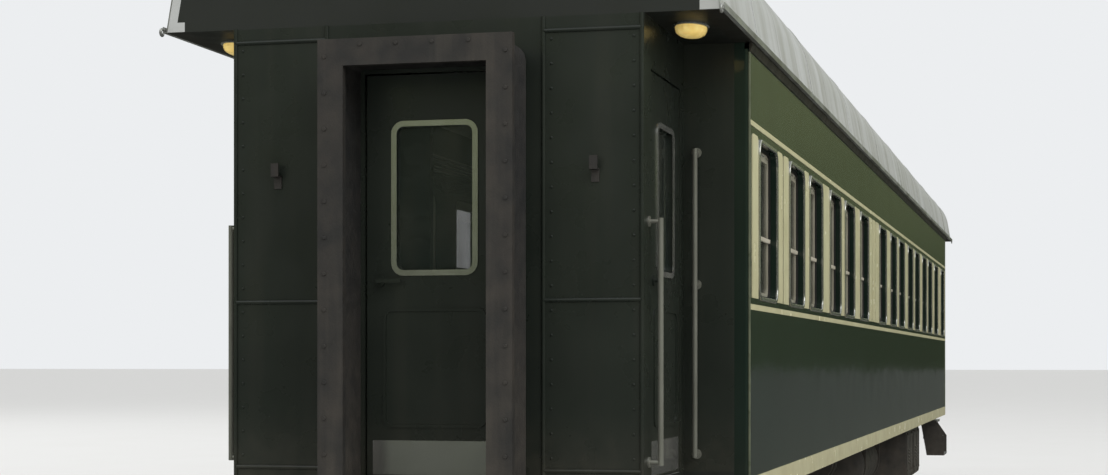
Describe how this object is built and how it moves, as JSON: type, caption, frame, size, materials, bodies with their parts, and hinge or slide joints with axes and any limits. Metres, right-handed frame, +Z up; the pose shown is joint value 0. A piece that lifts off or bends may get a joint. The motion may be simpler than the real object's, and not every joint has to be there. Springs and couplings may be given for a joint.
{
  "type": "railway passenger coach",
  "caption": "Main-line bogie passenger coach in green and cream with a grey elliptical roof, recessed end entrances, gangways, knuckle couplers and a saloon of bench seats",
  "frame": {"origin": "midway between the bogies on the centre line, level with the lowest point of the wheel flanges", "axes": "+X along the coach to its front end, +Y to its left, +Z up"},
  "size_m": [20.09, 2.904, 4.3115],
  "materials": {
    "body_green": "gloss",
    "cream_paint": "satin",
    "roof_paint": "weathered matte",
    "interior_panels": "varnished",
    "underframe_black": "dusty matte",
    "bogie_casting": "dusty matte",
    "wheel_steel": "worn",
    "polished_trim": "polished",
    "sash_metal": "satin",
    "window_glass": "clear",
    "lamp_glass": "frosted amber",
    "bellows_rubber": "folded matte",
    "floor_covering": "worn",
    "seat_wood": "varnished",
    "seat_leather": "soft"
  },
  "bodies": {
    "body": {"battery_boxes": "underframe_black", "brake_cylinders": "underframe_black", "bulkheads": "interior_panels", "ceiling": "interior_panels", "centre_sills": "underframe_black", "couplers": "bogie_casting", "end_walls": "body_green", "entrance_steps": "underframe_black", "floor": "floor_covering", "gangway_bellows": "bellows_rubber", "gangway_faceplates": "underframe_black", "glazing": "window_glass", "gutters": "polished_trim", "handrails": "polished_trim", "recess_lamps": "lamp_glass", "roof": "roof_paint", "roof_ventilators": "roof_paint", "sashes": "sash_metal", "seat_cushions": "seat_leather", "seat_frames": "seat_wood", "side_bands": "cream_paint", "underframe": "underframe_black", "vestibule_walls": "body_green", "wall_left": "body_green", "wall_right": "body_green", "water_tanks": "underframe_black", "window_frames": "polished_trim"},
    "bogie_front": {"bogie_front_frame": "bogie_casting", "bogie_front_axleboxes": "bogie_casting", "bogie_front_springs": "bogie_casting", "bogie_front_bolster": "bogie_casting", "bogie_front_brakes": "bogie_casting"},
    "bogie_rear": {"bogie_rear_frame": "bogie_casting", "bogie_rear_axleboxes": "bogie_casting", "bogie_rear_springs": "bogie_casting", "bogie_rear_bolster": "bogie_casting", "bogie_rear_brakes": "bogie_casting"},
    "wheelset_1": {"wheelset_1": "wheel_steel"},
    "wheelset_2": {"wheelset_2": "wheel_steel"},
    "wheelset_3": {"wheelset_3": "wheel_steel"},
    "wheelset_4": {"wheelset_4": "wheel_steel"},
    "entrance_door_front_left": {"entrance_door_front_left": "body_green", "entrance_door_front_left_glass": "window_glass"},
    "entrance_door_front_right": {"entrance_door_front_right": "body_green", "entrance_door_front_right_glass": "window_glass"},
    "gangway_door_front": {"gangway_door_front": "body_green", "gangway_door_front_glass": "window_glass"},
    "entrance_door_rear_left": {"entrance_door_rear_left": "body_green", "entrance_door_rear_left_glass": "window_glass"},
    "entrance_door_rear_right": {"entrance_door_rear_right": "body_green", "entrance_door_rear_right_glass": "window_glass"},
    "gangway_door_rear": {"gangway_door_rear": "body_green", "gangway_door_rear_glass": "window_glass"}
  },
  "joints": [
    {"name": "bogie_front_swivel", "type": "hinge", "parent": "body", "child": "bogie_front", "pos_m": [6.85, 0, 0.83], "axis": [0, 0, 1], "range_deg": [-4, 4]},
    {"name": "bogie_rear_swivel", "type": "hinge", "parent": "body", "child": "bogie_rear", "pos_m": [-6.85, 0, 0.83], "axis": [0, 0, 1], "range_deg": [-4, 4]},
    {"name": "wheelset_1_axle", "type": "hinge", "parent": "bogie_front", "child": "wheelset_1", "pos_m": [8.07, 0, 0.46], "axis": [0, 1, 0], "continuous": true},
    {"name": "wheelset_2_axle", "type": "hinge", "parent": "bogie_front", "child": "wheelset_2", "pos_m": [5.63, 0, 0.46], "axis": [0, 1, 0], "continuous": true},
    {"name": "wheelset_3_axle", "type": "hinge", "parent": "bogie_rear", "child": "wheelset_3", "pos_m": [-5.63, 0, 0.46], "axis": [0, 1, 0], "continuous": true},
    {"name": "wheelset_4_axle", "type": "hinge", "parent": "bogie_rear", "child": "wheelset_4", "pos_m": [-8.07, 0, 0.46], "axis": [0, 1, 0], "continuous": true},
    {"name": "entrance_door_front_left_hinge", "type": "hinge", "parent": "body", "child": "entrance_door_front_left", "pos_m": [8.73, 1, 2.176], "axis": [0, 0, -1], "range_deg": [0, 90]},
    {"name": "entrance_door_front_right_hinge", "type": "hinge", "parent": "body", "child": "entrance_door_front_right", "pos_m": [8.73, -1, 2.176], "axis": [0, 0, 1], "range_deg": [0, 90]},
    {"name": "gangway_door_front_hinge", "type": "hinge", "parent": "body", "child": "gangway_door_front", "pos_m": [9.59, 0.36, 2.176], "axis": [0, 0, -1], "range_deg": [0, 90]},
    {"name": "entrance_door_rear_left_hinge", "type": "hinge", "parent": "body", "child": "entrance_door_rear_left", "pos_m": [-8.73, 1, 2.176], "axis": [0, 0, 1], "range_deg": [0, 90]},
    {"name": "entrance_door_rear_right_hinge", "type": "hinge", "parent": "body", "child": "entrance_door_rear_right", "pos_m": [-8.73, -1, 2.176], "axis": [0, 0, -1], "range_deg": [0, 90]},
    {"name": "gangway_door_rear_hinge", "type": "hinge", "parent": "body", "child": "gangway_door_rear", "pos_m": [-9.59, -0.36, 2.176], "axis": [0, 0, -1], "range_deg": [0, 90]}
  ]
}
